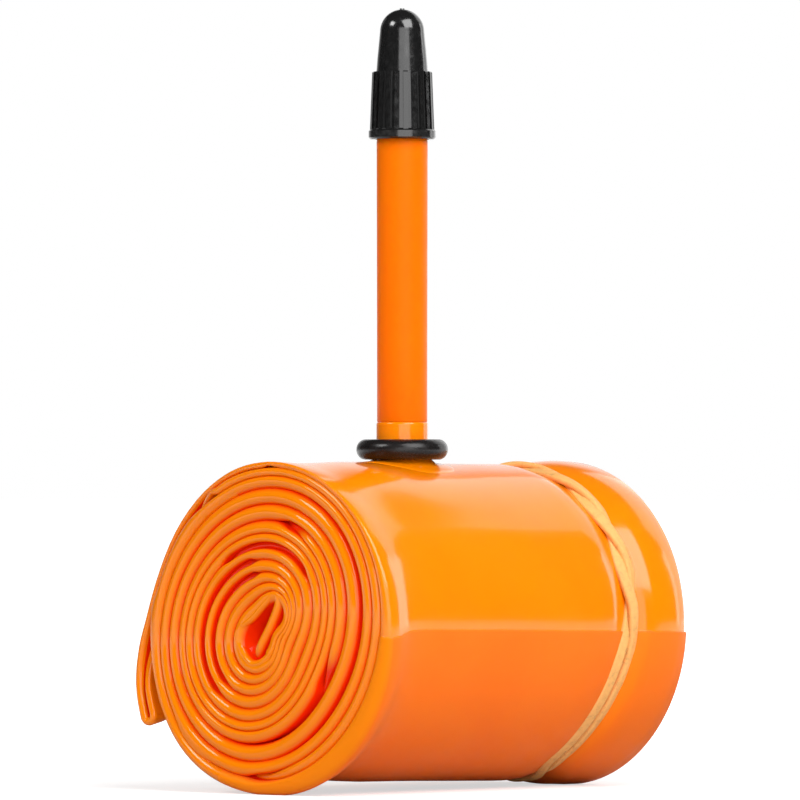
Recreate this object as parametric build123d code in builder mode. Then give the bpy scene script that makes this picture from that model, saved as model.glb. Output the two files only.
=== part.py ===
from build123d import *
from math import cos, radians, sin
import os

# Bicycle inner tube with a slender valve, laid flat, folded in half and rolled up.
# Millimetres, +Z up. The roll lies along X and stands on the two thicker rims at its ends.
# Origin: middle of the footprint, on the ground.

# ---- the roll of flattened tube ----
roll_length = 52.0        # lay-flat width of the tube
strand_pitch = 1.27       # distance from one layer of the roll to the next
strand_thickness = 1.02   # a flattened tube: two films and the thin air space between them
film_thickness = 0.32
quarter_turns = 25        # the spiral is drawn as quarter arcs, each a little larger
inner_fold_angle = 70.0   # where the folded loop starts, from -Y over the top
flap_start_angle = 171.0  # from here the loop's outer end stands off the roll
flap_length = 11.5
flap_bend_radius = 60.0
roll_radius = 18.9        # outer film at the top
roll_center_y = -0.5775
roll_center_z = 18.6
lap_start = -112.0        # the tube's two ends are lapped and welded: one film over the other
lap_edge = -3.0
lap_thickness = 0.30
rim_radius = 19.1         # the fold edges are thicker than the rest and make a rim at each end
rim_center_z = 18.8
rim_width = 3.2

# ---- valve ----
valve_x = -3.0
valve_y = roll_center_y
roll_top = roll_center_z + roll_radius
foot_radius = 6.2
foot_thickness = 0.40
collar_radius = 3.00
collar_top = 42.4
collar_chamfer = 0.3      # relieved joint between the collar and the stem
collar_relief = 0.6
spigot_radius = 2.48
stem_radius = 3.0
stem_bore = 1.5
stem_top = 75.5
stem_lead = 0.65          # sloping lead at the stem's top
valve_chamber = 1.9       # wider bore round the seal
insert_radius = 2.45
insert_bottom = 66.3
insert_bore = 1.95
core_thread_radius = 1.90
core_shoulder = 75.90
core_upper_radius = 2.60
core_flat_distance = 2.30
core_upper_top = 81.3
core_top = 81.7
rod_radius = 0.90
rod_guide = 0.97
rod_tip = 86.0
rod_travel = 2.1          # how far the unlocked rod can be pressed
nut_radius = 1.88
nut_height = 2.7

# ---- cap ----
cap_bottom = 75.0
cap_flange_radius = 3.87
cap_flange_height = 1.2
cap_rib_bottom = 76.3
cap_rib_top = 82.8
cap_rib_count = 22
cap_tip = 90.0
cap_dome_radius = 2.56

# ---- washer and rubber band ----
washer_bore = 3.14
washer_half_width = 1.07
washer_half_height = 1.175
washer_level = 39.23
band_x = 17.0
band_width = 2.6
band_thickness = 1.0

half_gap = (strand_pitch - strand_thickness) / 2
half_pair = (strand_pitch + strand_thickness) / 2
quarter_growth = strand_pitch / 2
along_roll = (1, 0, 0)


def direction(angle):
    """Unit vector in a section of the roll: 0 degrees is -Y, 90 degrees is up."""
    return (cos(radians(angle)), sin(radians(angle)))


def spiral_arcs():
    """Arcs of the line midway between the two strands, from the inner fold outwards.

    Each is (centre u, centre v, radius, first angle, last angle)."""
    arcs = []
    u, v = 0.0, 0.0
    radius = roll_radius - half_pair
    first, last = 90.0, flap_start_angle
    for number in range(quarter_turns):
        arcs.insert(0, (u, v, radius, first, last))
        towards = direction(first)
        u += quarter_growth * towards[0]
        v += quarter_growth * towards[1]
        radius -= quarter_growth
        first, last = first - 90, first
    full_turns = round((first - inner_fold_angle) / 360)
    arcs.insert(0, (u, v, radius, inner_fold_angle + 360 * full_turns, last))
    # the loose end runs on almost straight
    towards = direction(flap_start_angle)
    step = flap_bend_radius - (roll_radius - half_pair)
    bend = flap_start_angle + flap_length / flap_bend_radius * 57.2958
    flap = (-step * towards[0], -step * towards[1], flap_bend_radius, flap_start_angle, bend)
    return arcs + [flap]


def arc_point(arc, angle, side):
    """Point at a distance 'side' outside an arc of the middle line."""
    towards = direction(angle)
    y = roll_center_y - arc[0] - (arc[2] + side) * towards[0]
    z = roll_center_z + arc[1] + (arc[2] + side) * towards[1]
    return (y, z)


def fold_tip(arc, angle, side):
    """Outermost point of the round fold where the loop turns back; side < 0 at its start."""
    towards = direction(angle)
    middle = arc_point(arc, angle, 0)
    return (middle[0] + side * towards[1], middle[1] + side * towards[0])


def follow(arcs, side):
    """Draw a run of arcs at a distance 'side' from the middle line."""
    for arc in arcs:
        middle = (arc[3] + arc[4]) / 2
        ThreePointArc(
            arc_point(arc, arc[3], side),
            arc_point(arc, middle, side),
            arc_point(arc, arc[4], side),
        )


all_arcs = spiral_arcs()
outer_turn = all_arcs[-6:]


def folded_section(x, side):
    """Everything within 'side' of the middle line, from the inner fold to the outer one."""
    first, last = all_arcs[0], all_arcs[-1]
    with BuildSketch(Plane.YZ.offset(x)) as section:
        with BuildLine():
            follow(all_arcs, side)
            follow(all_arcs, -side)
            ThreePointArc(
                arc_point(last, last[4], side),
                fold_tip(last, last[4], side),
                arc_point(last, last[4], -side),
            )
            ThreePointArc(
                arc_point(first, first[3], side),
                fold_tip(first, first[3], -side),
                arc_point(first, first[3], -side),
            )
        make_face()
    return section.sketch


def part_of_turn(first_angle, last_angle):
    """The outer turn's arcs, cut to the stretch between two angles."""
    cut = []
    for arc in outer_turn:
        low = max(first_angle, arc[3])
        high = min(last_angle, arc[4])
        if high - low > 0.01:
            cut.append((arc[0], arc[1], arc[2], low, high))
    return cut


def filled_turn(x, side, first_angle, last_angle, beyond=0.0):
    """The whole area inside a stretch of the outer turn, closed by a straight line."""
    run = part_of_turn(first_angle, last_angle)
    end = run.pop()
    run.append((end[0], end[1], end[2], end[3], end[4] + beyond))
    with BuildSketch(Plane.YZ.offset(x)) as section:
        with BuildLine():
            follow(run, side)
            Line(arc_point(run[-1], run[-1][4], side), arc_point(run[0], run[0][3], side))
        make_face()
    return section.sketch


# ---- the tube ----
with BuildPart() as air_space:
    add(folded_section(film_thickness - roll_length / 2, half_pair - film_thickness))
    inner_area = folded_section(film_thickness - roll_length / 2, half_gap + film_thickness)
    extrude(amount=roll_length - 2 * film_thickness, dir=along_roll)
    add(inner_area)
    extrude(amount=roll_length - 2 * film_thickness, dir=along_roll, mode=Mode.SUBTRACT)

with BuildPart() as rims:
    # a full disc at each end, less the roll inside it and the gap under the loose end
    for x in (-roll_length / 2, roll_length / 2 - rim_width):
        with BuildSketch(Plane.YZ.offset(x)):
            with Locations((roll_center_y + 0.3, rim_center_z)):
                Circle(rim_radius)
        extrude(amount=rim_width)
    chamfer(rims.edges().filter_by(GeomType.CIRCLE), 0.5)
    add(filled_turn(-roll_length / 2, half_pair - 0.15, -105, flap_start_angle))
    extrude(amount=roll_length, dir=along_roll, mode=Mode.SUBTRACT)
    with BuildSketch(Plane.YZ.offset(-roll_length / 2)):
        with BuildLine():
            Polyline(
                (roll_center_y + 4.6, roll_center_z - 25),
                (roll_center_y + 4.6, roll_center_z - 5),
                (roll_center_y + 12, roll_center_z + 3),
                (roll_center_y + 25, roll_center_z + 3),
                (roll_center_y + 25, roll_center_z - 25),
                close=True,
            )
        make_face()
    extrude(amount=roll_length, mode=Mode.SUBTRACT)

with BuildPart() as tube:
    # the folded loop, then the slit where its two strands lie against each other
    add(folded_section(-roll_length / 2, half_pair))
    extrude(amount=roll_length, dir=along_roll)
    add(folded_section(-roll_length / 2, half_gap))
    extrude(amount=roll_length, dir=along_roll, mode=Mode.SUBTRACT)
    # the lapped film: a thin strip on the outer film, ending in the seam's square edge
    lap_run = part_of_turn(lap_start, lap_edge)
    with BuildSketch(Plane.YZ.offset(-roll_length / 2)):
        with BuildLine():
            follow(lap_run, half_pair + lap_thickness)
            follow(lap_run, half_pair - 0.1)
            for arc, angle in ((lap_run[0], lap_run[0][3]), (lap_run[-1], lap_run[-1][4])):
                Line(
                    arc_point(arc, angle, half_pair + lap_thickness),
                    arc_point(arc, angle, half_pair - 0.1),
                )
        make_face()
    extrude(amount=roll_length)
    add(rims.part)
    add(air_space.part, mode=Mode.SUBTRACT)
    # the rims are pressed flat where the roll stands on the ground
    with Locations((0, 0, -5)):
        Box(80, 80, 10, mode=Mode.SUBTRACT)
    # air hole under the valve, through the outer film only
    with Locations((valve_x, valve_y, roll_top)):
        Cylinder(1.6, 1.0, mode=Mode.SUBTRACT)
tube.part.label = "tube"

# ---- valve foot: a thin disc that follows the roll, with a short collar ----
with BuildPart() as valve_foot:
    with BuildSketch(Plane.YZ.offset(valve_x - foot_radius)):
        with Locations((valve_y, roll_center_z)):
            Circle(roll_radius + foot_thickness)
    extrude(amount=2 * foot_radius)
    with Locations((valve_x, valve_y, roll_top)):
        Cylinder(foot_radius, 6.0, mode=Mode.INTERSECT)
    add(filled_turn(valve_x - 10, half_pair, -20, flap_start_angle))
    extrude(amount=20, dir=along_roll, mode=Mode.SUBTRACT)
    with BuildSketch(Plane.XY.offset(roll_top + 0.1)):
        with Locations((valve_x, valve_y)):
            Circle(collar_radius)
    extrude(amount=collar_top - collar_relief - roll_top - 0.1)
    with Locations((valve_x, valve_y, collar_top - collar_relief / 2)):
        Cone(collar_radius, collar_radius - collar_chamfer, collar_relief)
    # socket for the stem, and the air hole below it
    with BuildSketch(Plane.XY.offset(roll_top + 0.7)):
        with Locations((valve_x, valve_y)):
            Circle(spigot_radius + 0.02)
    extrude(amount=10, mode=Mode.SUBTRACT)
    with Locations((valve_x, valve_y, roll_top)):
        Cylinder(stem_bore, 6, mode=Mode.SUBTRACT)
valve_foot.part.label = "valve_foot"

valve_axis = Plane(origin=(valve_x, valve_y, 0), x_dir=(1, 0, 0), z_dir=(0, -1, 0))
spin = Axis((valve_x, valve_y, 0), (0, 0, 1))


def turned(points):
    """Half profile (radius, height) turned about the valve's axis."""
    with BuildPart() as piece:
        with BuildSketch(valve_axis):
            with BuildLine():
                Polyline(*points, close=True)
            make_face()
        revolve(axis=spin)
    return piece.part


# ---- valve stem ----
stem_foot = roll_top + 0.72
with BuildPart() as valve_stem:
    with BuildSketch(valve_axis):
        with BuildLine():
            Polyline(
                (stem_bore, stem_foot),
                (spigot_radius, stem_foot),
                (spigot_radius, collar_top + 0.02),
                (stem_radius - collar_chamfer, collar_top + 0.02),
                (stem_radius, collar_top + 0.02 + collar_relief),
                (stem_radius, stem_top - stem_lead),
                (stem_radius - 0.4, stem_top),
                (insert_radius + 0.02, stem_top),
                (insert_radius + 0.02, insert_bottom - 0.02),
                (valve_chamber, insert_bottom - 0.02),
                (valve_chamber, insert_bottom - 6),
                (stem_bore, insert_bottom - 7),
                close=True,
            )
        make_face()
    revolve(axis=spin)
valve_stem.part.label = "valve_stem"

# ---- threaded bush moulded into the stem's top ----
with BuildPart() as stem_insert:
    with BuildSketch(valve_axis):
        with BuildLine():
            Polyline(
                (insert_bore, insert_bottom),
                (insert_radius, insert_bottom),
                (insert_radius, stem_top),
                (insert_bore + 0.15, stem_top),
                (insert_bore, stem_top - 0.15),
                close=True,
            )
        make_face()
    revolve(axis=spin)
    # two grooves that key the bush into the stem
    with BuildSketch(valve_axis):
        for level in (insert_bottom + 2.5, insert_bottom + 5.5):
            with Locations((insert_radius, level)):
                Rectangle(0.3, 0.8)
    revolve(axis=spin, mode=Mode.SUBTRACT)
stem_insert.part.label = "stem_insert"

# ---- valve core body: lower thread, shoulder, upper thread with two flats ----
with BuildPart() as core_body:
    with BuildSketch(valve_axis):
        with BuildLine():
            Polyline(
                (1.15, insert_bottom),
                (core_thread_radius - 0.2, insert_bottom),
                (core_thread_radius, insert_bottom + 0.2),
                (core_thread_radius, core_shoulder),
                (core_upper_radius - 0.15, core_shoulder),
                (core_upper_radius, core_shoulder + 0.15),
                (core_upper_radius, core_upper_top - 0.2),
                (core_upper_radius - 0.2, core_upper_top),
                (1.75, core_upper_top),
                (1.75, core_top),
                (rod_guide, core_top),
                (rod_guide, core_top - 4),
                (1.25, core_top - 5),
                (1.25, insert_bottom + 1.0),
                (1.15, insert_bottom + 0.6),
                close=True,
            )
        make_face()
    revolve(axis=spin)
    # spanner flats on both sides of the upper thread
    for side in (-1, 1):
        with Locations((valve_x + side * (core_flat_distance + 1), valve_y, core_upper_top - 2)):
            Box(2, 8, 4.1, mode=Mode.SUBTRACT)
core_body.part.label = "core_body"

with BuildPart() as core_gasket:
    with BuildSketch(Plane.XY.offset(stem_top + 0.02)):
        with Locations((valve_x, valve_y)):
            Circle(2.55)
            Circle(core_thread_radius + 0.02, mode=Mode.SUBTRACT)
    extrude(amount=core_shoulder - stem_top - 0.04)
core_gasket.part.label = "core_gasket"

# ---- valve rod with its seal and the cup that holds the seal ----
seal_top = insert_bottom - 0.02
seal_bottom = seal_top - 1.6
cup_bottom = seal_bottom - 1.0
with BuildPart() as core_rod:
    with BuildSketch(valve_axis):
        with BuildLine():
            Polyline(
                (0, cup_bottom + 0.2),
                (0.6, cup_bottom + 0.2),
                (0.6, seal_top + 0.5),
                (rod_radius, seal_top + 0.8),
                (rod_radius, rod_tip - 0.5),
                (0.55, rod_tip),
                (0, rod_tip),
                close=True,
            )
        make_face()
    revolve(axis=spin)
core_rod.part.label = "core_rod"

with BuildPart() as rod_seal:
    with BuildSketch(valve_axis):
        with BuildLine():
            Polyline(
                (0.62, seal_bottom + 0.01),
                (1.35, seal_bottom + 0.01),
                (1.5, seal_bottom + 0.5),
                (1.5, seal_top - 0.4),
                (1.3, seal_top - 0.03),
                (0.62, seal_top - 0.03),
                close=True,
            )
        make_face()
    revolve(axis=spin)
rod_seal.part.label = "rod_seal"

with BuildPart() as seal_cup:
    with BuildSketch(valve_axis):
        with BuildLine():
            Polyline(
                (0, cup_bottom),
                (1.1, cup_bottom),
                (1.3, cup_bottom + 0.3),
                (1.3, seal_bottom),
                (0.62, seal_bottom),
                (0.62, cup_bottom + 0.18),
                (0, cup_bottom + 0.18),
                close=True,
            )
        make_face()
    revolve(axis=spin)
seal_cup.part.label = "seal_cup"

# ---- knurled lock nut on the rod ----
nut_bottom = core_top + 0.02
nut_notches = 14
with BuildPart() as lock_nut:
    with BuildSketch(valve_axis):
        with BuildLine():
            Polyline(
                (rod_radius + 0.06, nut_bottom),
                (nut_radius - 0.3, nut_bottom),
                (nut_radius, nut_bottom + 0.4),
                (nut_radius, nut_bottom + nut_height - 0.5),
                (nut_radius - 0.4, nut_bottom + nut_height),
                (rod_radius + 0.06, nut_bottom + nut_height),
                close=True,
            )
        make_face()
    revolve(axis=spin)
    with BuildSketch(Plane.XY.offset(nut_bottom)):
        with Locations((valve_x, valve_y)):
            with PolarLocations(nut_radius + 0.05, nut_notches):
                Circle(0.17)
    extrude(amount=nut_height, mode=Mode.SUBTRACT)
lock_nut.part.label = "lock_nut"

# ---- dust cap: flange, ribbed grip and rounded tip, hollow for the core ----
cap_cavity = [
    (0, cap_bottom),
    (stem_radius + 0.10, cap_bottom),
    (stem_radius + 0.10, stem_top + 0.25),
    (core_upper_radius + 0.08, stem_top + 0.5),
    (core_upper_radius + 0.08, core_upper_top + 0.35),
    (2.25, core_upper_top + 0.8),
    (2.0, 86.6),
    (1.3, 87.6),
    (0, 87.9),
]
rib_depth = 0.26
with BuildPart() as rib:
    with BuildSketch(valve_axis):
        with BuildLine():
            Polyline(
                (2.9, cap_rib_bottom - 0.3),
                (3.72, cap_rib_bottom - 0.3),
                (3.46, cap_rib_top - 0.12),
                (3.34, cap_rib_top),
                (2.9, cap_rib_top),
                close=True,
            )
        make_face()
    extrude(amount=0.27, both=True)

with BuildPart() as valve_cap:
    with BuildSketch(valve_axis):
        with BuildLine():
            Polyline(
                (0, cap_bottom),
                (cap_flange_radius - 0.2, cap_bottom),
                (cap_flange_radius, cap_bottom + 0.2),
                (cap_flange_radius, cap_bottom + cap_flange_height - 0.25),
                (cap_flange_radius - 0.25, cap_bottom + cap_flange_height),
                (3.72 - rib_depth, cap_bottom + cap_flange_height),
                (3.46 - rib_depth, cap_rib_top),
                (2.98, cap_rib_top),
                (2.86, 84.4),
                (cap_dome_radius, cap_tip - cap_dome_radius),
            )
            ThreePointArc(
                (cap_dome_radius, cap_tip - cap_dome_radius),
                (cap_dome_radius * sin(radians(45)), cap_tip - cap_dome_radius * (1 - cos(radians(45)))),
                (0, cap_tip),
            )
            Line((0, cap_tip), (0, cap_bottom))
        make_face()
    revolve(axis=spin)
    for number in range(cap_rib_count):
        add(rib.part.rotate(spin, number * 360 / cap_rib_count))
    # two tiny moulding nubs on the tip
    for shift in (-0.22, 0.22):
        with Locations((valve_x + shift, valve_y, cap_tip)):
            Cylinder(0.12, 0.2)
    add(turned(cap_cavity), mode=Mode.SUBTRACT)
valve_cap.part.label = "valve_cap"

# ---- rubber washer on the stem, against the rim ----
with BuildPart() as rim_washer:
    with BuildSketch(valve_axis):
        with Locations((washer_bore + washer_half_width, washer_level)):
            Ellipse(washer_half_width, washer_half_height)
    revolve(axis=spin)
rim_washer.part.label = "rim_washer"

# ---- rubber band round the roll, close to its far end ----
# It follows the outer turn, then runs straight from the flap to the underside.
band_gap = lap_thickness + 0.10
band_first = -103.5
band_start = band_x - band_width / 2
flap_end_angle = all_arcs[-1][4]
past_the_fold = 2.9       # degrees further, so that the band clears the loop's round end


def band_area(side):
    return filled_turn(band_start, side, band_first, flap_end_angle, past_the_fold)


with BuildPart() as rubber_band:
    add(band_area(half_pair + band_gap + band_thickness))
    extrude(amount=band_width, dir=along_roll)
    add(band_area(half_pair + band_gap))
    extrude(amount=band_width, dir=along_roll, mode=Mode.SUBTRACT)
rubber_band.part.label = "rubber_band"

os.makedirs("parts", exist_ok=True)
export_step(tube.part, "parts/tube.step")
export_step(valve_foot.part, "parts/valve_foot.step")
export_step(valve_stem.part, "parts/valve_stem.step")
export_step(stem_insert.part, "parts/stem_insert.step")
export_step(core_body.part, "parts/core_body.step")
export_step(core_gasket.part, "parts/core_gasket.step")
export_step(core_rod.part, "parts/core_rod.step")
export_step(rod_seal.part, "parts/rod_seal.step")
export_step(seal_cup.part, "parts/seal_cup.step")
export_step(lock_nut.part, "parts/lock_nut.step")
export_step(valve_cap.part, "parts/valve_cap.step")
export_step(rim_washer.part, "parts/rim_washer.step")
export_step(rubber_band.part, "parts/rubber_band.step")

for piece in (
    tube,
    valve_foot,
    valve_stem,
    stem_insert,
    core_body,
    core_gasket,
    core_rod,
    rod_seal,
    seal_cup,
    lock_nut,
    valve_cap,
    rim_washer,
    rubber_band,
):
    box = piece.part.bounding_box()
    solids = len(piece.part.solids())
    print(piece.part.label, solids, round(piece.part.volume, 2), piece.part.is_valid)
    print("   ", [round(n, 3) for n in box.min], [round(n, 3) for n in box.max])
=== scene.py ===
"""A rolled-up inner tube with its valve, rim washer and rubber band, dressed for a studio picture."""

import math

import bpy
import numpy as np
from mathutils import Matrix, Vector


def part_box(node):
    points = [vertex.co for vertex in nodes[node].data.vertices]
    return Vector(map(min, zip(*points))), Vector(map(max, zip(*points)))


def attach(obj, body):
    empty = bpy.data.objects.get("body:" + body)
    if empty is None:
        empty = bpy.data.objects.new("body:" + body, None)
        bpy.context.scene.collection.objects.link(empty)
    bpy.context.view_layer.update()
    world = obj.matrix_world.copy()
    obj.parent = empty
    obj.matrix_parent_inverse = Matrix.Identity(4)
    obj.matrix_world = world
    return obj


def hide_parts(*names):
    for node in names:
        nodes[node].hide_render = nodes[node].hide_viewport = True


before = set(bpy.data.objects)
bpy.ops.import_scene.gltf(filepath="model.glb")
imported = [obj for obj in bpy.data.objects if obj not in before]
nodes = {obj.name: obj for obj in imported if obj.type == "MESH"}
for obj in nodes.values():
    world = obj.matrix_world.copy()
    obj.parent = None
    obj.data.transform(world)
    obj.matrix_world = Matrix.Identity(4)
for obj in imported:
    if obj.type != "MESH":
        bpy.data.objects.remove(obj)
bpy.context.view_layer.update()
MM = 0.001

# ---------------------------------------------------------------- places from the frame
tube_lo, tube_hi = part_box("tube")
stem_lo, stem_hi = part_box("valve_stem")
band_lo, band_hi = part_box("rubber_band")

valve_x = (stem_lo.x + stem_hi.x) / 2
valve_y = (stem_lo.y + stem_hi.y) / 2
rim_radius = tube_hi.z / 2            # the roll's ends, where the fold edges stand out
AXIS_ASIDE = 0.3 * MM                 # the roll's axis lies a little beside the valve's
axis_y = valve_y + AXIS_ASIDE
axis_z = rim_radius
NEAR_INSET, FAR_INSET = 0.6 * MM, 0.12 * MM      # from the solid's ends to the film's fold edges
near_x = tube_lo.x + NEAR_INSET
far_x = tube_hi.x - FAR_INSET
band_x = (band_lo.x + band_hi.x) / 2


def smooth(a, b, x):
    """0 before a, 1 after b, smooth between."""
    t = np.clip((np.asarray(x, float) - a) / (b - a), 0, 1)
    return t * t * (3 - 2 * t)


# ---------------------------------------------------------------- materials
class Shader:
    """A Principled material and short calls for its nodes."""

    def __init__(self, name, **settings):
        self.mat = bpy.data.materials.new(name)
        self.mat.use_nodes = True
        self.tree = self.mat.node_tree
        self.bsdf = self.tree.nodes["Principled BSDF"]
        self.coord = self.node("ShaderNodeTexCoord")
        self.place = self.coord.outputs["Object"]
        for key, value in settings.items():
            self.bsdf.inputs[key.replace("_", " ")].default_value = value

    def node(self, kind, **inputs):
        made = self.tree.nodes.new(kind)
        for key, value in inputs.items():
            socket = made.inputs[key.replace("_", " ")]
            if isinstance(value, bpy.types.NodeSocket):
                self.tree.links.new(value, socket)
            else:
                socket.default_value = value
        return made

    def noise(self, scale, detail=2.0, rough=0.5, distort=0.0, stretch=None):
        where = self.place
        if stretch:
            where = self.node("ShaderNodeMapping", Vector=where, Scale=stretch).outputs[0]
        made = self.node(
            "ShaderNodeTexNoise",
            Vector=where, Scale=scale, Detail=detail, Roughness=rough, Distortion=distort,
        )
        return made.outputs["Fac"]

    def ramp(self, value, *stops):
        made = self.node("ShaderNodeValToRGB", Fac=value)
        points = made.color_ramp.elements
        while len(points) < len(stops):
            points.new(0.5)
        for point, (at, colour) in zip(points, stops):
            point.position = at
            point.color = (*colour, 1.0)
        return made.outputs["Color"]

    def math(self, kind, a, b=0.0):
        made = self.tree.nodes.new("ShaderNodeMath")
        made.operation = kind
        for socket, value in zip(made.inputs, (a, b)):
            if isinstance(value, bpy.types.NodeSocket):
                self.tree.links.new(value, socket)
            else:
                socket.default_value = value
        return made.outputs[0]

    def mix(self, factor, a, b):
        made = self.tree.nodes.new("ShaderNodeMix")
        made.data_type = "RGBA"
        for socket, value in zip((made.inputs[0], made.inputs[6], made.inputs[7]), (factor, a, b)):
            if isinstance(value, bpy.types.NodeSocket):
                self.tree.links.new(value, socket)
            elif isinstance(value, tuple):
                socket.default_value = (*value, 1.0)
            else:
                socket.default_value = value
        return made.outputs[2]

    def range(self, value, lo, hi, to_lo, to_hi):
        made = self.tree.nodes.new("ShaderNodeMapRange")
        self.tree.links.new(value, made.inputs[0])
        for socket, number in zip(list(made.inputs)[1:5], (lo, hi, to_lo, to_hi)):
            socket.default_value = number
        return made.outputs[0]

    def colour(self, socket):
        self.tree.links.new(socket, self.bsdf.inputs["Base Color"])

    def rough(self, socket):
        self.tree.links.new(socket, self.bsdf.inputs["Roughness"])

    def bump(self, height, strength, distance):
        made = self.node(
            "ShaderNodeBump", Height=height, Strength=strength, Distance=distance
        )
        self.tree.links.new(made.outputs["Normal"], self.bsdf.inputs["Normal"])


FACING_ENDWISE = (0.35, 0.9)          # how squarely a face looks along the roll, from side to edge
# depths over which the painted shade of the grooves fades in: none above the top one, full below the low
# one
GROOVE_SHADE_TOP, GROOVE_SHADE_LOW = 0.1 * MM, 0.6 * MM      # below the fold edges' crests
COAT_ROUGHNESS = 0.08
RIPPLE_SCALE, GRAIN_SCALE, GRAIN_SHARE = 120, 2400, 0.04


def film_material(name, tone, deep, edge, roughness, coat, gloss, scatter, groove_shade=None):
    """Thin stretchy film: saturated, a little uneven in tone, with faint ripples and grain.

    The fold edges at the roll's ends have a tone of their own. Where a shade tone for the grooves
    is given, it takes over between those edges: painted shade, darker and redder deep between the
    layers where little light reaches."""
    crest = -near_x
    s = Shader(name, Coat_Weight=coat, Coat_Roughness=COAT_ROUGHNESS, IOR=1.5, Specular_IOR_Level=gloss)
    s.bsdf.subsurface_method = "RANDOM_WALK"
    s.bsdf.inputs["Subsurface Weight"].default_value = scatter
    s.bsdf.inputs["Subsurface Radius"].default_value = (1.0, 0.3, 0.06)
    s.bsdf.inputs["Subsurface Scale"].default_value = 0.4 * MM
    cloud = s.noise(70, 3, 0.55, 0.4)
    facing = s.node("ShaderNodeSeparateXYZ", Vector=s.coord.outputs["Normal"]).outputs["X"]
    endwise = s.range(s.math("ABSOLUTE", facing), *FACING_ENDWISE, 0.0, 1.0)
    skin = s.mix(endwise, s.ramp(cloud, (0.3, deep), (0.62, tone)), edge)
    if groove_shade:
        along = s.node("ShaderNodeSeparateXYZ", Vector=s.place).outputs["X"]
        away = s.math("ABSOLUTE", along)
        # painted shade: further in from the fold edges' crests the film takes the darker, redder shade
        # tone of the grooves
        sunk = s.range(away, crest - GROOVE_SHADE_LOW, crest - GROOVE_SHADE_TOP, 1.0, 0.0)
        skin = s.mix(sunk, skin, groove_shade)
    s.colour(skin)
    haze = s.noise(260, 4, 0.6)
    s.rough(s.range(haze, 0.3, 0.7, roughness * 0.85, roughness * 1.25))
    grain = s.noise(GRAIN_SCALE, 2, 0.6)
    ripple = s.noise(RIPPLE_SCALE, 2, 0.4)
    s.bump(s.math("ADD", ripple, s.math("MULTIPLY", grain, GRAIN_SHARE)), 0.2, 0.05 * MM)
    return s.mat


EDGE_TONE = (1.0, 0.25, 0.0004)
# painted shade for the grooves between the plies, darker and redder than the fold edges
GROOVE_SHADE_TONE = (1.0, 0.035, 0.0004)
film_glossy = film_material(
    "film_glossy", (1.0, 0.25, 0.0004), (0.98, 0.23, 0.0004), EDGE_TONE, 0.15, 0.3, 0.3, 0.1)
film_satin = film_material(
    "film_satin", (1.0, 0.19, 0.010), (0.98, 0.17, 0.008), EDGE_TONE, 0.4, 0.0, 0.12, 0.1)
film_edge = film_material(
    "film_edge", EDGE_TONE, (1.0, 0.2, 0.0004), EDGE_TONE, 0.08, 0.3, 0.18, 0.0, GROOVE_SHADE_TONE)


def stem_material():
    s = Shader("stem_moulding", IOR=1.48, Specular_IOR_Level=0.06)
    s.bsdf.subsurface_method = "RANDOM_WALK"
    s.bsdf.inputs["Subsurface Weight"].default_value = 0.3
    s.bsdf.inputs["Subsurface Radius"].default_value = (1.0, 0.25, 0.03)
    s.bsdf.inputs["Subsurface Scale"].default_value = 1.0 * MM
    flow = s.noise(60, 3, 0.5, 0.0, (1.0, 1.0, 0.15))
    s.colour(s.ramp(flow, (0.3, (0.97, 0.165, 0.0005)), (0.65, (1.0, 0.185, 0.0005))))
    fine = s.noise(900, 3, 0.6)
    s.rough(s.range(fine, 0.3, 0.7, 0.3, 0.4))
    s.bump(fine, 0.15, 0.02 * MM)
    return s.mat


def rubber_material(name, tone, roughness, grain_scale, depth, gloss=0.5):
    s = Shader(name, IOR=1.5, Specular_IOR_Level=gloss)
    fine = s.noise(grain_scale, 4, 0.65)
    patch = s.noise(90, 3, 0.5)
    s.colour(s.mix(patch, tone, tuple(1.7 * c for c in tone)))
    s.rough(s.range(fine, 0.3, 0.7, roughness - 0.06, roughness + 0.08))
    s.bump(fine, 0.35, depth)
    return s.mat


def metal_material(name, tone, roughness):
    s = Shader(name, Metallic=1.0)
    turned = s.noise(500, 3, 0.55, 0.0, (0.15, 0.15, 3.0))
    stain = s.noise(160, 3, 0.6)
    s.colour(s.mix(stain, tone, tuple(0.86 * c for c in tone)))
    s.rough(s.range(turned, 0.3, 0.7, roughness - 0.05, roughness + 0.08))
    s.bump(turned, 0.3, 0.01 * MM)
    return s.mat


def band_material():
    s = Shader("band_rubber", IOR=1.45)
    s.bsdf.subsurface_method = "RANDOM_WALK"
    s.bsdf.inputs["Subsurface Weight"].default_value = 0.15
    s.bsdf.inputs["Subsurface Radius"].default_value = (1.0, 0.6, 0.3)
    s.bsdf.inputs["Subsurface Scale"].default_value = 0.4 * MM
    speck = s.noise(1500, 3, 0.7)
    dark, tan, light = (0.68, 0.35, 0.11), (0.86, 0.44, 0.13), (0.92, 0.5, 0.16)
    s.colour(s.ramp(speck, (0.3, dark), (0.45, tan), (0.75, light)))
    s.rough(s.range(speck, 0.3, 0.7, 0.55, 0.75))
    s.bump(speck, 0.3, 0.02 * MM)
    return s.mat


moulding = stem_material()
materials = {
    "stem_insert": metal_material("brass_turned", (0.5, 0.34, 0.13), 0.32),
    "core_body": metal_material("nickel_turned", (0.42, 0.40, 0.37), 0.3),
    "core_gasket": rubber_material("seal_rubber", (0.03, 0.03, 0.035), 0.55, 900, 0.02 * MM),
    "valve_cap": rubber_material(
        "cap_moulding", (0.005, 0.005, 0.005), 0.16, 1400, 0.004 * MM, 0.85),
    "rim_washer": rubber_material(
        "washer_rubber", (0.007, 0.006, 0.006), 0.27, 1100, 0.012 * MM, 0.35),
}
materials["core_rod"] = materials["core_body"]
materials["lock_nut"] = materials["core_body"]
materials["rod_seal"] = materials["core_gasket"]
materials["seal_cup"] = materials["stem_insert"]
for name, mat in materials.items():
    data = nodes[name].data
    data.materials.clear()
    data.materials.append(mat)


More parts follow.
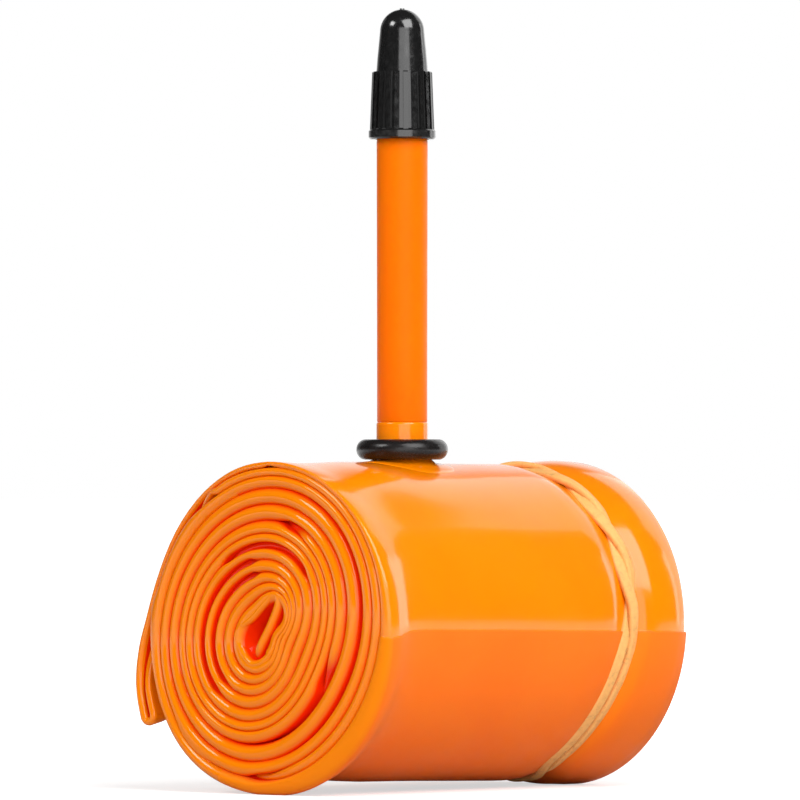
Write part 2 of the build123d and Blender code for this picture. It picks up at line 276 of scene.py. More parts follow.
# ---------------------------------------------------------------- the roll
# Seen from the near end, the film winds inwards clockwise from the top in one long spiral. Its
# turns start round, then lie a little to the left of the rim's middle and are slightly oval.
# After so many turns, in shares of the rim's radius: mean distance out, shift to the left, and
# half the difference between the oval's long and short way.
WINDING = np.array([
    (0.0, 0.985, 0.00, 0.02),
    (1.0, 0.885, 0.04, 0.04),
    (3.0, 0.69, 0.09, 0.05),
    (6.0, 0.53, 0.12, 0.05),
    (8.0, 0.36, 0.12, 0.05),
    (10.0, 0.235, 0.07, 0.055),
    (12.0, 0.14, 0.00, 0.06),
])
TURNS = 11.5
ANGLE_STEP = 3.0                      # degrees between the spiral's rows
OVAL_TILT = 50.0                      # the ovals' long way, in degrees from the right
SUNK_BACK = 2.6 * MM
SUNK_TURN = (-1150.0, -1340.0)        # the stretch of the fourth turn that is sunk out of sight
# Folds of film that show between two turns: turns from the start, and the angles of their ends.
SLIVERS = {"sliver_1": (6, 150, 30), "sliver_2": (7, 240, 90), "sliver_3": (8, 240, 90)}
SLIVER_BACK = 0.9 * MM
SLIVER_SINK = 30.0                    # degrees over which a sliver sinks at each end
LINING = (120.0, -150.0)              # the flap's inner film, between the first two turns
# The roll is fuller low on the flap's side: at this angle, over this span, by this share.
FULL_SIDE, FULL_SPAN, FULLNESS = 226.0, 28.0, 0.045


def fuller(angle):
    """How much further out than round the roll is at an angle, in rim radii."""
    off = (np.asarray(angle, float) - FULL_SIDE + 180) % 360 - 180
    return FULLNESS * np.exp(-((off / FULL_SPAN) ** 2))


THICKEST = 0.055        # half of the widest fold edge, as a share of the rim's radius
PRESSED = 1.1           # neighbouring fold edges press into each other, so their grooves are shallow
HIDDEN = 1.5 * MM       # a ply set back further than this doesn't show


def through_stations(x, xs, ys):
    """A smooth curve through stations."""
    slope = np.gradient(ys, xs)
    k = np.clip(np.searchsorted(xs, x, side="right") - 1, 0, len(xs) - 2)
    h = xs[k + 1] - xs[k]
    t = np.clip((x - xs[k]) / h, 0, 1)
    return (
        (2 * t**3 - 3 * t**2 + 1) * ys[k] + (t**3 - 2 * t**2 + t) * h * slope[k]
        + (3 * t**2 - 2 * t**3) * ys[k + 1] + (t**3 - t**2) * h * slope[k + 1]
    )


def winding(angle):
    """How far out the long spiral lies, at an angle that falls from 90 turn after turn."""
    turns = (90.0 - np.asarray(angle, float)) / 360
    mean, shift, oval = (through_stations(turns, WINDING[:, 0], WINDING[:, k]) for k in (1, 2, 3))
    a = np.radians(angle)
    outer = np.clip(1 - turns / 2, 0, 1)
    ovalness = oval * np.cos(2 * (a - math.radians(OVAL_TILT)))
    return mean - shift * np.cos(a) + ovalness + outer * fuller(angle)


def spiral():
    """The long spiral's rows of (angle, distance out, set back)."""
    angle = np.arange(90.0, 90.0 - 360 * TURNS, -ANGLE_STEP)
    first, last = SUNK_TURN
    sunk = smooth(first + 60, first, angle) * smooth(last - 45, last, angle)
    return np.stack([angle, winding(angle), SUNK_BACK * sunk], 1)


def between(turn, first, last, back, ends):
    """Rows of a ply half way between a turn and the next one, sinking at its ends."""
    angle = np.arange(first, last - 0.1, -ANGLE_STEP)
    spun = angle - 360 * turn
    out = (winding(spun) + winding(spun - 360)) / 2
    sink = np.clip(np.minimum(first - angle, angle - last) / SLIVER_SINK, 0, 1)
    return np.stack([angle, out, back + (ends - back) * (1 - smooth(0, 1, sink))], 1)


def polar(points):
    """(right, up) of (angle, radius) rows, in rim radii."""
    a = np.radians(points[:, 0])
    return np.stack([points[:, 1] * np.cos(a), points[:, 1] * np.sin(a)], 1)


def spline(points, count):
    """Catmull-Rom through a few rows."""
    p = np.array(points, float)
    p = np.vstack([2 * p[0] - p[1], p, 2 * p[-1] - p[-2]])
    out = []
    for i in range(1, len(p) - 2):
        for t in np.arange(0, 1, 1 / count):
            out.append(
                0.5 * (2 * p[i] + (p[i + 1] - p[i - 1]) * t
                       + (2 * p[i - 1] - 5 * p[i] + 4 * p[i + 1] - p[i + 2]) * t**2
                       + (3 * p[i] - p[i - 1] - 3 * p[i + 1] + p[i + 2]) * t**3)
            )
    return np.array(out + [p[-2]])


def stretch(rows):
    """Smooth rows of (angle, radius, set back in mm) every 3 degrees or so."""
    fine = spline(rows, 4)
    fine[:, 2] = np.clip(fine[:, 2], 0, None) * MM
    return fine


# The outer end of the folded tube stands off the roll as a flap: the outermost film and its lining
# meet in a round turn. Each row is an angle, a distance out in rim radii and a set back in mm.
FLAP_OUT = np.array([
    (208, 1.195, 0.3), (198, 1.16, 0.4), (187, 1.09, 0.5), (176, 1.02, 0.6), (160, 0.985, 0.8),
    (140, 0.98, 0.9), (120, 0.98, 0.7), (105, 0.98, 0.3), (90, 0.98, 0.0),
])
FLAP_IN = np.array([
    (208, 1.115, 0.3), (198, 1.085, 0.5), (187, 1.02, 1.2), (176, 0.97, 2.4), (160, 0.95, 3.0),
    (140, 0.94, 2.6), (130, 0.94, 1.3), (120, 0.94, 0.0),
])
# The inner end is the tube's other fold, at the heart of the roll. It goes on from the spiral's
# last turn: places to the right of the rim's middle and above it, in rim radii.
HEART_END = [
    (-0.06, -0.21), (-0.13, -0.22), (-0.18, -0.19), (-0.22, -0.14), (-0.26, -0.07), (-0.25, -0.02),
    (-0.20, 0.02), (-0.13, 0.06), (-0.06, 0.12), (0.0, 0.17), (0.03, 0.20), (0.06, 0.20),
    (0.08, 0.19), (0.08, 0.15), (0.06, 0.10), (0.01, 0.01), (-0.05, -0.08), (-0.10, -0.16),
    (-0.13, -0.20), (-0.12, -0.24), (-0.07, -0.24),
]

lining = between(0, *LINING, 0.0, 0.0)
lining[:, 2] = SUNK_BACK * smooth(-75, -120, lining[:, 0])
curves = {"turns": spiral(), "lining": lining}
for name, (turn, first, last) in SLIVERS.items():
    curves[name] = between(turn, first, last, SLIVER_BACK, SUNK_BACK)
curves["flap_out"] = stretch(FLAP_OUT)
curves["flap_in"] = stretch(FLAP_IN)


def smoothed(values, times=2):
    """Values averaged with their neighbours, a few times over."""
    for _ in range(times):
        values = np.convolve(np.pad(values, 1, mode="edge"), [0.25, 0.5, 0.25], "valid")
    return values


RIGHT, UP, BACK_BY, LEFT, RIGHT_HALF, DEEP_LEFT, DEEP_RIGHT, ANGLE = range(8)
OFF_ROLL, IN_HEART = 999.0, -9999.0        # stand for an angle where a ply isn't part of a turn
TURNS_TRIED = 14            # more turns than any ply makes
SAME_PLY = 0.006            # nearer than this, in rim radii, it is the same ply


def room(angle, radius, back):
    """The nearest plies outside and inside a place on the near end."""
    above, below = 1.0 + float(fuller(angle)), 0.0
    for rows in curves.values():
        turns = rows[:, 0]
        order = np.argsort(turns)
        for turn in range(-TURNS_TRIED, TURNS_TRIED + 1):
            at = angle + 360 * turn
            if turns.min() <= at <= turns.max():
                r = np.interp(at, turns[order], rows[order, 1])
                b = np.interp(at, turns[order], rows[order, 2])
                if b > HIDDEN and back < HIDDEN:
                    continue
                if r > radius + SAME_PLY:
                    above = min(above, r)
                elif r < radius - SAME_PLY:
                    below = max(below, r)
    return above, below


SLIGHTLY_BACK = 0.5 * MM             # set back further than this, a ply is drawn thin
THIN, THINNEST = 0.024, 0.016        # half thickness of such a ply, in sight and hidden
DEEPER = 1.12                        # behind the grooves neighbouring plies overlap a little


def widths(name):
    """Half thickness of a ply outwards and inwards, at its fold edge and deeper in the roll."""
    found = []
    for angle, radius, back in curves[name]:
        above, below = room(angle, radius, back)
        rim = above >= 1.0
        out = above - radius if rim else (above - radius) / 2
        inner = (radius - below) / 2
        deep = (out if rim else DEEPER * out, DEEPER * inner)
        out = out if rim else min(PRESSED * out, THICKEST)
        inner = min(PRESSED * inner, THICKEST)
        if back > SLIGHTLY_BACK:
            thin = THIN if back < HIDDEN else THINNEST
            out, inner = min(out, thin), min(inner, thin)
            deep = (out, inner)
        found.append((out, inner, *deep))
    found = np.array(found)
    return np.column_stack([smoothed(found[:, k]) for k in range(4)])


def rows_of(xy, back, half, angle):
    """Rows as section() reads them: place, set back, the four half thicknesses, angle."""
    return np.column_stack([xy, back, half, angle])


def loose_rows(points, half):
    """Rows of (angle, radius, set back) points that aren't part of the outer turn."""
    return rows_of(polar(points), points[:, 2], half, np.full(len(points), OFF_ROLL))


def flap_rows(points, free_from, free, covered):
    """Rows of one film of the flap: thicker where it stands free of the roll."""
    thick = smoothed(np.where(points[:, 0] > free_from, free, covered), 4)
    return loose_rows(points, np.column_stack([thick] * 4))


LAP_AT, LAP_FAR = -2.6, -112.0      # the lower film laps over the roll between these angles
LAP_STEP = 0.30 * MM / rim_radius
LAP_FADE = 50                       # degrees over which its step fades out at the far end
LAP_EDGE = np.array([0.3, 0.06, -0.06, -0.3])      # degrees either side of its clean edge
LAP_PROUD = 0.12                    # mm that the lapping film stands out at the ends
FOLD_STEPS, FOLD_HALF = 9, 0.025    # the flap's round turn: its steps and half thickness


def lapped(angle):
    """How much of the lap's step there is at an angle."""
    inside = np.where((angle < LAP_AT) & (angle > LAP_FAR), 1.0, 0.0)
    return inside * smooth(LAP_FAR, LAP_FAR + LAP_FADE, angle)


def cover_rows():
    """The long spiral, led by the flap and its lining and followed by the fold at the heart."""
    rows = curves["turns"]
    main = rows_of(polar(rows), rows[:, 2], widths("turns"), rows[:, 0])
    lead, tail = curves["flap_out"][:-1], curves["flap_in"][::-1]
    lead_rows = flap_rows(lead, 172, 0.027, 0.018)
    tail_rows = flap_rows(tail, 178, 0.024, 0.016)
    # the lining runs the other way round, so its outer and inner sides change places
    half = widths("lining")[::-1][:-1][:, [1, 0, 3, 2]]
    lining_rows = loose_rows(curves["lining"][::-1][:-1], half)
    a, b = polar(lead[:1])[0], polar(tail[-1:])[0]
    middle, arm = (a + b) / 2, (a - b) / 2
    forward = np.array([-arm[1], arm[0]])
    bend = np.pi * np.arange(1, FOLD_STEPS + 1)[:, None] / (FOLD_STEPS + 1)
    turn = middle - arm * np.cos(bend) + forward * np.sin(bend)
    turn_rows = rows_of(
        turn, np.full(FOLD_STEPS, lead[0, 2]), np.full((FOLD_STEPS, 4), FOLD_HALF),
        np.full(FOLD_STEPS, OFF_ROLL))
    rows = np.vstack([lining_rows, tail_rows, turn_rows, lead_rows, main])
    # closer rows at the lap's edge, which is a clean step
    first = len(rows) - len(main)
    edge = LAP_AT + LAP_EDGE
    fine = np.array([
        [np.interp(-at, -main[:, ANGLE], main[:, column]) for column in range(main.shape[1])]
        for at in edge
    ])
    before = main[main[:, ANGLE] > edge[0] + 1]
    after = main[main[:, ANGLE] < edge[-1] - 1]
    rows = np.vstack([rows[:first], before, fine, after])
    lap = np.where(rows[:, ANGLE] < OFF_ROLL, lapped(rows[:, ANGLE]), 0)
    rows[:, LEFT] += lap * LAP_STEP
    rows[:, DEEP_LEFT] += lap * LAP_STEP
    rows[:, BACK_BY] -= lap * LAP_PROUD * MM
    return np.vstack([rows, heart_rows()])


# Along the fold at the heart, as shares of its length: where it sinks at its end, its half
# thickness at the fold edge, and how much thicker it is deeper in the roll.
HEART_BACK, HEART_SINKS = 3.0 * MM, 0.82
HEART_HALF = ([0, 0.25, 0.5, 0.62, 1], [0.03, 0.024, 0.021, 0.036, 0.026])
HEART_DEEPER = ([0, 0.3, 0.6, 1], [1.0, 1.1, 1.5, 1.5])


def heart_rows():
    """The tube's inner fold, which ends tucked below the lowest ply."""
    fold = spline([tuple(polar(curves["turns"][-1:])[0]), *HEART_END], 5)[1:]
    grow = np.linspace(0, 1, len(fold))
    sunk = HEART_BACK * smooth(HEART_SINKS, 1.0, grow)
    edge = np.interp(grow, *HEART_HALF)
    deep = edge * np.interp(grow, *HEART_DEEPER)
    half = np.column_stack([edge, edge, deep, deep])
    return rows_of(fold, sunk, half, np.full(len(fold), IN_HEART))


def plain_rows(name):
    """Rows of a ply that is nothing but its own curve."""
    rows = curves[name]
    half = widths(name)
    return rows_of(polar(rows), rows[:, 2], half, rows[:, 0])


# How the roll runs along its length: place along it (mm), heights of its underside and top (mm),
# and its scale sideways. It is full at the rims, slimmer between, and pinched by the band.
FORM = np.array([
    (-25.4, 0.05, 37.85, 1.0), (-24.6, 0.05, 37.85, 1.0), (-23.4, 0.4, 37.8, 0.99),
    (-22.0, 1.2, 37.7, 0.965), (-20.0, 1.75, 37.65, 0.95), (-17.5, 1.7, 37.7, 0.947),
    (-13.0, 1.4, 37.85, 0.953), (-3.0, 1.2, 37.8, 0.958), (5.0, 1.0, 37.65, 0.96),
    (10.0, 0.9, 37.55, 0.96), (14.0, 0.9, 37.45, 0.957), (15.6, 1.2, 37.05, 0.938),
    (17.0, 1.5, 36.8, 0.93), (18.0, 1.4, 36.85, 0.94), (18.7, 1.1, 37.15, 0.98),
    (19.4, 0.8, 37.4, 1.008), (20.4, 0.45, 37.7, 1.016), (22.5, 0.15, 37.95, 1.02),
    (24.0, 0.05, 37.95, 1.012), (25.2, 0.05, 37.9, 0.998), (26.0, 0.1, 37.8, 0.98),
])
DENT = 0.25 * MM         # the film lies flatter round the valve
DENT_REACH, DENT_SPAN = 6.5 * MM, 30      # how far that reaches along the roll, and in degrees round it
DENT_SKIN = (0.8, 0.93)                   # it fades between these shares of the rim's radius


def form(x):
    """The roll's scale upwards and sideways at x, and its centre's height."""
    place, low, high, side = FORM.T
    low = through_stations(np.asarray(x) / MM, place, low) * MM
    high = through_stations(np.asarray(x) / MM, place, high) * MM
    side = through_stations(np.asarray(x) / MM, place, side)
    return (high - low) / (2 * rim_radius), side, (high + low) / 2


BAND_WANDER = 2.9 * MM         # how far the band sags towards the near end, low on the lap's side
SAG_FROM, SAG_TO = (-84, -58), (15, -55)      # degrees over which it grows, and fades to nothing
PINCH_X, PINCH_REACH = 15 * MM, 7 * MM        # the stretch of the roll that the band pinches


def sag(degrees):
    """How much of that wander the band has at an angle: 0 is the lap's side, 90 the top."""
    return smooth(*SAG_FROM, degrees) * smooth(*SAG_TO, degrees)


def settle(p):
    """The roll's overall form, applied to every point of it. Its pinch follows the band."""
    degrees = np.degrees(np.arctan2(p[:, 2] - axis_z, axis_y - p[:, 1]))
    near_band = np.exp(-(((p[:, 0] - PINCH_X) / PINCH_REACH) ** 4))
    tall, wide, centre = form(p[:, 0] + BAND_WANDER * sag(degrees) * near_band)
    wide = np.where(p[:, 1] > axis_y, np.minimum(wide, 1.0), wide)
    q = p.copy()
    y, z = (p[:, 1] - axis_y) * wide, (p[:, 2] - axis_z) * tall
    r = np.hypot(y, z)
    tilt = np.degrees(np.arctan2(-y, z))
    near = np.exp(-(((p[:, 0] - valve_x) / DENT_REACH) ** 4) - (tilt / DENT_SPAN) ** 4)
    r_new = r - DENT * near * smooth(*DENT_SKIN, r / rim_radius)
    k = r_new / np.maximum(r, 1e-6)
    q[:, 1] = axis_y + y * k
    q[:, 2] = np.maximum(centre + z * k, 0.0)
    return q


BEAD_STEPS = 9
BEAD_SHARE = 0.55                   # a fold edge's round runs this share of its thickness back
BEAD_MOST, FAR_BEAD_MOST = 0.95 * MM, 0.8 * MM      # but no further than this
COVER_BEAD = 0.95                   # and a little less on the roll's outside
BEAD_CLEAR = 0.05 * MM              # from the round to the next point along the ply
GROOVE = (0.3 * MM, 1.6 * MM)       # behind their round edges neighbouring plies touch
# Places along a ply, in mm from its near end: closer where the band pinches the roll.
ALONG = near_x + MM * np.array([
    2.3, 3.4, 4.6, 6, 8, 11, 15, 20, 25, 30, 34, 37,
    38.6, 39.6, 40.5, 41.3, 42.0, 42.8, 43.7, 44.7, 46, 47.2, 48.5,
])


def section(row, cover):
    """One closed outline across a ply: near fold edge, left side, far fold edge, right side."""
    x0, x1 = near_x + row[BACK_BY], far_x - row[BACK_BY]
    left, right = row[LEFT] * rim_radius, row[RIGHT_HALF] * rim_radius
    deep_left, deep_right = row[DEEP_LEFT] * rim_radius, row[DEEP_RIGHT] * rim_radius
    depth = min(BEAD_SHARE * (left + right), BEAD_MOST)
    far_depth = min(depth, FAR_BEAD_MOST)
    bend = np.linspace(-np.pi / 2, np.pi / 2, BEAD_STEPS)
    half = np.where(bend > 0, left, right) * np.sin(bend)
    inset = (1 - np.cos(bend)) * depth * np.where((bend > 0) & cover, COVER_BEAD, 1.0)
    far_inset = (1 - np.cos(bend)) * far_depth
    x = np.clip(ALONG, x0 + depth + BEAD_CLEAR, x1 - far_depth - BEAD_CLEAR)

    def thickness(at, edge, deep):
        inside = smooth(*GROOVE, at - x0 - depth) * smooth(*GROOVE, x1 - depth - at)
        return edge + (deep - edge) * inside

    side = np.full(len(x), left) if cover else thickness(x, left, deep_left)
    x_in = x[::-3]                  # the inner side needs fewer points
    back_side = -thickness(x_in, right, deep_right)
    return (
        np.concatenate([x0 + inset, x, x1 - far_inset[::-1], x_in]),
        np.concatenate([half, side, half[::-1], back_side]),
    )


def sweep(rows, cover_to=None):
    """Vertices and faces of one ply, and the points in each of its sections.

    Rows at larger angles than cover_to belong to the outer turn."""
    xy = rows[:, :2]
    ahead = np.vstack([xy[1:], 2 * xy[-1] - xy[-2]])
    behind = np.vstack([2 * xy[0] - xy[1], xy[:-1]])
    along = ahead - behind
    along /= np.linalg.norm(along, axis=1)[:, None]
    side = np.stack([-along[:, 1], along[:, 0]], 1)
    points = []
    for i, row in enumerate(rows):
        x, off = section(row, cover_to is not None and row[ANGLE] > cover_to)
        place = xy[i] * rim_radius + side[i] * off[:, None]
        points.append(np.column_stack([x, axis_y - place[:, 0], axis_z + place[:, 1]]))
    n = len(points[0])
    faces = []
    for i in range(len(rows) - 1):
        for k in range(n):
            m = (k + 1) % n
            faces.append((i * n + k, (i + 1) * n + k, (i + 1) * n + m, i * n + m))
    faces.append(tuple(range(n)))
    faces.append(tuple(range((len(rows) - 1) * n, len(rows) * n))[::-1])
    return np.vstack(points), faces, n


def add_mesh(name, points, faces, mats, face_mats=None):
    """A new smooth-shaded mesh object."""
    data = bpy.data.meshes.new(name)
    data.from_pydata([tuple(map(float, p)) for p in points], [], faces)
    for mat in mats:
        data.materials.append(mat)
    data.polygons.foreach_set("use_smooth", [True] * len(data.polygons))
    if face_mats is not None:
        data.polygons.foreach_set("material_index", face_mats)
    data.update()
    made = bpy.data.objects.new(name, data)
    bpy.context.scene.collection.objects.link(made)
    return made


GLOSSY, SATIN, EDGE = range(3)
OUTER_TURN = -250.0             # the spiral's stretch before this angle is the roll's outside
LAP_FACE = 0.2                  # degrees by which the lap's film takes in the face of its step
all_points, all_faces, face_film = [], [], []
start = 0
for name in ("turns", *SLIVERS):
    outer = name == "turns"
    rows = cover_rows() if outer else plain_rows(name)
    points, faces, n = sweep(rows, OUTER_TURN if outer else None)
    all_points.append(points)
    for face in faces:
        angle = rows[min(face) // n, ANGLE]
        outer_side = len(face) == 4 and max(v % n for v in face) <= 2 * BEAD_STEPS + len(ALONG)
        if not (outer and outer_side and angle > OUTER_TURN):
            film = EDGE
        else:
            film = SATIN if LAP_FAR < angle < LAP_AT + LAP_FACE else GLOSSY
        face_film.append(film)
        all_faces.append(tuple(v + start for v in face))
    start += len(points)
films = [film_glossy, film_satin, film_edge]
roll = add_mesh("rolled_film", settle(np.vstack(all_points)), all_faces, films, face_film)
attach(roll, "roll")
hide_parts("tube")

# ---------------------------------------------------------------- valve foot and stem
TURNED_STEPS = 72


def turned(name, profile, mats, seat=None):
    """A closed (radius, height) outline in mm turned about the valve's axis."""
    outline = np.array(profile) * MM
    n = len(outline)
    points, faces = [], []
    for i in range(TURNED_STEPS):
        a = 2 * math.pi * i / TURNED_STEPS
        for r, z in outline:
            x, y = valve_x + r * math.cos(a), valve_y + r * math.sin(a)
            points.append((x, y, z if seat is None else seat(x, y, z, r)))
    for i in range(TURNED_STEPS):
        j = (i + 1) % TURNED_STEPS
        for k in range(n):
            m = (k + 1) % n
            faces.append((i * n + k, j * n + k, j * n + m, i * n + m))
    return add_mesh(name, points, faces, mats)


TOP_SCALE = 0.98                # the outermost film's middle, in rim radii
TOP_LIFT = 0.37 * MM            # from there up to its outside
FOOT_LEVEL = 37.5 * MM
FOOT_BLEND = (2.9 * MM, 4.2 * MM)      # between these radii the foot turns from level to lying


def roll_top(x, y):
    """Height of the roll's outside over a place near the valve."""
    tall, _, centre = form(x)
    r = rim_radius * TOP_SCALE * float(tall)
    flat = DENT * math.exp(-(((x - valve_x) / DENT_REACH) ** 4))
    return float(centre) + math.sqrt(r * r - (y - axis_y) ** 2) - flat + TOP_LIFT


def foot_seat(x, y, z, r):
    """The foot's flange lies on the roll; its collar stands level."""
    return z + (roll_top(x, y) - FOOT_LEVEL) * float(smooth(*FOOT_BLEND, r))


foot = turned(
    "foot_moulding",
    [(1.5, 37.3), (2.9, 37.3), (3.6, 37.28), (4.6, 37.3), (5.6, 37.36), (6.05, 37.42), (6.1, 37.47),
     (5.9, 37.56), (5.3, 37.66), (4.6, 37.74), (3.9, 37.86), (3.45, 38.1), (3.15, 38.5),
     (3.02, 39.1), (2.99, 40.0), (2.99, 42.05), (2.975, 42.2), (2.93, 42.32), (2.85, 42.38), (1.5, 42.38)],
    [film_glossy], foot_seat,
)
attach(foot, "roll")
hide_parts("valve_foot")

stem = turned(
    "stem_moulding",
    [(1.5, 42.4), (2.86, 42.4), (2.9, 42.5), (2.9, 50.0), (2.915, 58.0), (2.93, 66.0),
     (2.95, 74.7), (2.9, 75.0), (2.72, 75.38), (2.6, 75.5), (2.47, 75.5), (2.47, 66.3),
     (1.9, 66.28), (1.9, 60.3), (1.5, 59.3)],
    [moulding],
)
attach(stem, "roll")
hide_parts("valve_stem")

# ---------------------------------------------------------------- rubber band
CROSSINGS = [-86, 6, 32, 59, 86, 112, 141, 172, 208, 246]     # angles where its two strands cross
STRAND_WIDTH, STRAND_HEIGHT = 1.45 * MM, 0.75 * MM
BAND_STEPS, STRAND_STEPS = 480, 14
STRAND_SQUARE = 0.55            # below 1, the strands' sections are squarer than an oval
STRAND_LEAN = math.radians(26)
LIE, LIFT = 0.62, 0.45          # in strand heights: over the roll, and its rise at a crossing
BITE = 0.1 * MM                 # how far it presses into the film
APART, FLAT_APART = 0.7, 0.22   # mm from the band's middle, and more where the strands lie flat
FLAT_GROWS, FLAT_FADES = 25, 22      # degrees over which they come to lie flat, and leave off


def body_radius(angle, x):
    """Distance of the roll's surface from its axis at an angle, and the centre's height there."""
    tall, wide, centre = form(x)
    across, up = float(wide) * math.cos(angle), float(tall) * math.sin(angle)
    return rim_radius * math.hypot(across, up), float(centre)


def twist_at(angle):
    """How far the strands have turned round each other: half a turn from crossing to crossing."""
    knots = CROSSINGS + [CROSSINGS[0] + 360]
    turns = [0.5 + k for k in range(len(knots))]
    return math.pi * float(np.interp(angle, knots, turns))


def squarer(value):
    """A cosine or sine whose curve is squarer."""
    return math.copysign(abs(value) ** STRAND_SQUARE, value)


def band_mesh():
    """Two flattened strands twisted round each other, lying on the roll."""
    points, faces = [], []
    first = CROSSINGS[0]
    for number in range(2):
        for i in range(BAND_STEPS):
            degrees = first + 360 * i / BAND_STEPS
            a = math.radians(degrees)
            turn = twist_at(degrees)
            # the long stretch between the first two crossings lies side by side
            flat = smooth(first, first + FLAT_GROWS, degrees)
            flat = flat * smooth(CROSSINGS[1], CROSSINGS[1] - FLAT_FADES, degrees)
            side = 1 if number == 0 else -1
            swing = math.cos(turn)
            swing = (1 - flat) * swing + flat * math.copysign(1, swing)
            lift = (1 - flat) * math.sin(turn)
            middle_x = band_x - BAND_WANDER * float(sag(degrees))
            r, centre = body_radius(a, band_x)
            r += STRAND_HEIGHT * (LIE + LIFT * side * lift) - BITE
            x = middle_x + side * swing * (APART + FLAT_APART * flat) * MM
            lean = STRAND_LEAN * side * swing * (0.4 + 0.6 * abs(lift))
            outward = Vector((0, -math.cos(a), math.sin(a)))
            middle = Vector((x, axis_y, centre)) + outward * r
            for k in range(STRAND_STEPS):
                t = 2 * math.pi * k / STRAND_STEPS
                u = squarer(math.cos(t)) * STRAND_WIDTH / 2
                v = squarer(math.sin(t)) * STRAND_HEIGHT / 2
                wide = u * math.cos(lean) + v * math.sin(lean)
                high = v * math.cos(lean) - u * math.sin(lean)
                points.append(tuple(middle + Vector((wide, 0, 0)) + outward * high))
        base = number * BAND_STEPS * STRAND_STEPS
        # after a whole turn with an even number of crossings each strand meets its own start
        for i in range(BAND_STEPS):
            j = (i + 1) % BAND_STEPS
            for k in range(STRAND_STEPS):
                m = (k + 1) % STRAND_STEPS
                here, ahead = base + i * STRAND_STEPS, base + j * STRAND_STEPS
                faces.append((here + k, here + m, ahead + m, ahead + k))
    return points, faces


points, faces = band_mesh()
band = add_mesh("twisted_band", points, faces, [band_material()])
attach(band, "band")
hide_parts("rubber_band")

# ---------------------------------------------------------------- camera
scene = bpy.context.scene
toward = Vector((0.736, 0.677, 0.0)).normalized()      # the way the camera looks
side_way = Vector((toward.y, -toward.x, 0.0))
EYE_HEIGHT, REACH = 37.5 * MM, 1.03                    # the camera's height, and its distance
AIM_LEFT, AIM_UP = 0.25 * MM, 7.44 * MM                # from the valve's axis at that height
SENSOR_WIDTH, LENS = 36, 402
camera = bpy.data.objects.new("camera", bpy.data.cameras.new("camera"))
scene.collection.objects.link(camera)
scene.camera = camera
at = Vector((valve_x, valve_y, EYE_HEIGHT))
camera.location = at - toward * REACH
aim = at - side_way * AIM_LEFT + Vector((0, 0, AIM_UP))
camera.rotation_mode = "QUATERNION"
camera.rotation_quaternion = (aim - camera.location).to_track_quat("-Z", "Y")
camera.data.sensor_width = SENSOR_WIDTH
camera.data.lens = LENS
camera.data.clip_start, camera.data.clip_end = 0.05, 50

# ---------------------------------------------------------------- stage and light
scene.view_settings.view_transform = "Standard"

FLOOR_HALF = 6.0
FLOOR_TONE = (0.60, 0.60, 0.60, 1)
FLOOR_FADE = (0.05, 0.3)        # metres from the part's middle, over which the floor's own glow grows
SEEN_GLOW = (0.6, 1.05)         # that glow for the camera, near the part and far off
MIRRORED_GLOW = (0.0, 1.0)      # and for reflections


def ray_share(tree, names):
    """1 for rays of the named kinds, otherwise 0."""
    ray = tree.nodes.new("ShaderNodeLightPath")
    share = ray.outputs[names[0]]
    for name in names[1:]:
        both = tree.nodes.new("ShaderNodeMath")
        both.operation = "MAXIMUM"
        tree.links.new(share, both.inputs[0])
        tree.links.new(ray.outputs[name], both.inputs[1])
        share = both.outputs[0]
    return share


def stage_floor():
    """A pale floor: lit and shadowed near the part, plain white further off."""
    edge = FLOOR_HALF
    corners = [(-edge, -edge, 0), (edge, -edge, 0), (edge, edge, 0), (-edge, edge, 0)]
    floor = add_mesh("floor", corners, [(0, 1, 2, 3)], [])
    mat = bpy.data.materials.new("floor")
    mat.use_nodes = True
    tree = mat.node_tree
    bsdf = tree.nodes["Principled BSDF"]
    bsdf.inputs["Base Color"].default_value = FLOOR_TONE
    bsdf.inputs["Roughness"].default_value = 0.9
    bsdf.inputs["Specular IOR Level"].default_value = 0.1
    where = tree.nodes.new("ShaderNodeTexCoord")
    far = tree.nodes.new("ShaderNodeVectorMath")
    far.operation = "LENGTH"
    tree.links.new(where.outputs["Object"], far.inputs[0])
    shares = []
    for names, glow in (
        (["Is Camera Ray"], SEEN_GLOW),
        (["Is Glossy Ray", "Is Transmission Ray"], MIRRORED_GLOW),
    ):
        level = tree.nodes.new("ShaderNodeMapRange")
        level.interpolation_type = "SMOOTHSTEP"
        tree.links.new(far.outputs["Value"], level.inputs[0])
        for socket, number in zip(list(level.inputs)[1:5], (*FLOOR_FADE, *glow)):
            socket.default_value = number
        share = tree.nodes.new("ShaderNodeMath")
        share.operation = "MULTIPLY"
        tree.links.new(ray_share(tree, names), share.inputs[0])
        tree.links.new(level.outputs[0], share.inputs[1])
        shares.append(share.outputs[0])
    lift = tree.nodes.new("ShaderNodeMath")
    lift.operation = "MAXIMUM"
    tree.links.new(shares[0], lift.inputs[0])
    tree.links.new(shares[1], lift.inputs[1])
    shine = tree.nodes.new("ShaderNodeEmission")
    tree.links.new(lift.outputs[0], shine.inputs["Strength"])
    both = tree.nodes.new("ShaderNodeAddShader")
    tree.links.new(bsdf.outputs[0], both.inputs[0])
    tree.links.new(shine.outputs[0], both.inputs[1])
    tree.links.new(both.outputs[0], tree.nodes["Material Output"].inputs["Surface"])
    floor.data.materials.append(mat)


stage_floor()

AMBIENT = 0.14
DARK_STUDIO = 0.04      # what glossy rays see where no backdrop or lamp is
BACKDROP = (0.82, 0.95)     # cosines from its middle: dark below the first, white above the second


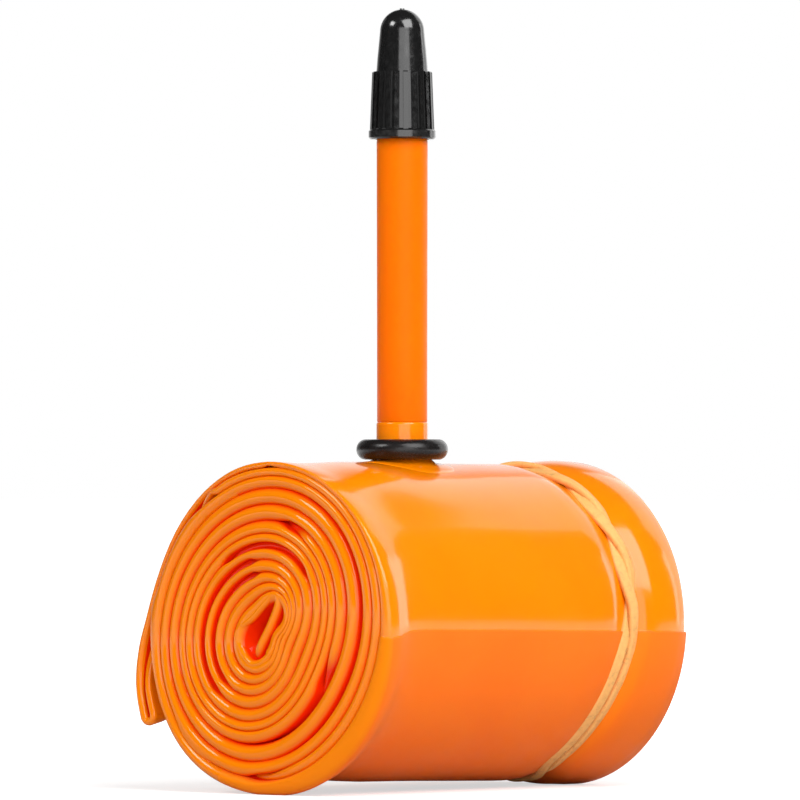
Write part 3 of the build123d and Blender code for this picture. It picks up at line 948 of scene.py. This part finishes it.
def studio_world():
    """White for camera and transmission rays, a dark studio with a backdrop for glossy ones.

    All other rays find a dim even light."""
    world = bpy.data.worlds.new("studio")
    scene.world = world
    world.use_nodes = True
    tree = world.node_tree
    background = tree.nodes["Background"]
    background.inputs["Color"].default_value = (1, 1, 1, 1)
    way = tree.nodes.new("ShaderNodeTexCoord")
    ahead = tree.nodes.new("ShaderNodeVectorMath")
    ahead.operation = "DOT_PRODUCT"
    tree.links.new(way.outputs["Generated"], ahead.inputs[0])
    ahead.inputs[1].default_value = toward
    backdrop = tree.nodes.new("ShaderNodeMapRange")
    backdrop.interpolation_type = "SMOOTHSTEP"
    tree.links.new(ahead.outputs["Value"], backdrop.inputs[0])
    for socket, number in zip(list(backdrop.inputs)[1:5], (*BACKDROP, DARK_STUDIO, 1.0)):
        socket.default_value = number
    ray = tree.nodes.new("ShaderNodeLightPath")
    shine = tree.nodes.new("ShaderNodeMix")
    tree.links.new(ray.outputs["Is Glossy Ray"], shine.inputs[0])
    shine.inputs[2].default_value = AMBIENT
    tree.links.new(backdrop.outputs[0], shine.inputs[3])
    level = tree.nodes.new("ShaderNodeMath")
    level.operation = "MAXIMUM"
    tree.links.new(shine.outputs[0], level.inputs[0])
    tree.links.new(ray_share(tree, ["Is Camera Ray", "Is Transmission Ray"]), level.inputs[1])
    tree.links.new(level.outputs[0], background.inputs["Strength"])


studio_world()


LIT_PLACE = Vector((0, 0, 0.03))


def softbox(name, azimuth, elevation, distance, width, height, power):
    """A soft light, seen from the part at an azimuth and elevation.

    Azimuth 0 is the photographer's side, and it grows to the picture's right."""
    a, e = math.radians(azimuth), math.radians(elevation)
    flat = -toward * math.cos(a) + side_way * math.sin(a)
    way = flat * math.cos(e) + Vector((0, 0, math.sin(e)))
    data = bpy.data.lights.new(name, "AREA")
    data.shape = "RECTANGLE"
    data.size, data.size_y = width, height
    data.energy = power
    lamp = bpy.data.objects.new(name, data)
    scene.collection.objects.link(lamp)
    lamp.location = LIT_PLACE + way * distance
    lamp.rotation_mode = "QUATERNION"
    lamp.rotation_quaternion = (-way).to_track_quat("-Z", "Y")


softbox("main", 35, 42, 1.0, 0.75, 0.75, 10.5)
softbox("left", -62, 38, 1.0, 0.36, 0.3, 3.3)
softbox("rear", 145, 20, 1.0, 0.75, 0.85, 2.4)
softbox("strip", 119, 6, 1.0, 0.16, 0.7, 0.9)
softbox("front", 10, 10, 1.5, 1.4, 0.6, 5.8)
softbox("left_back", -140, 10, 1.0, 0.15, 0.8, 0.15)
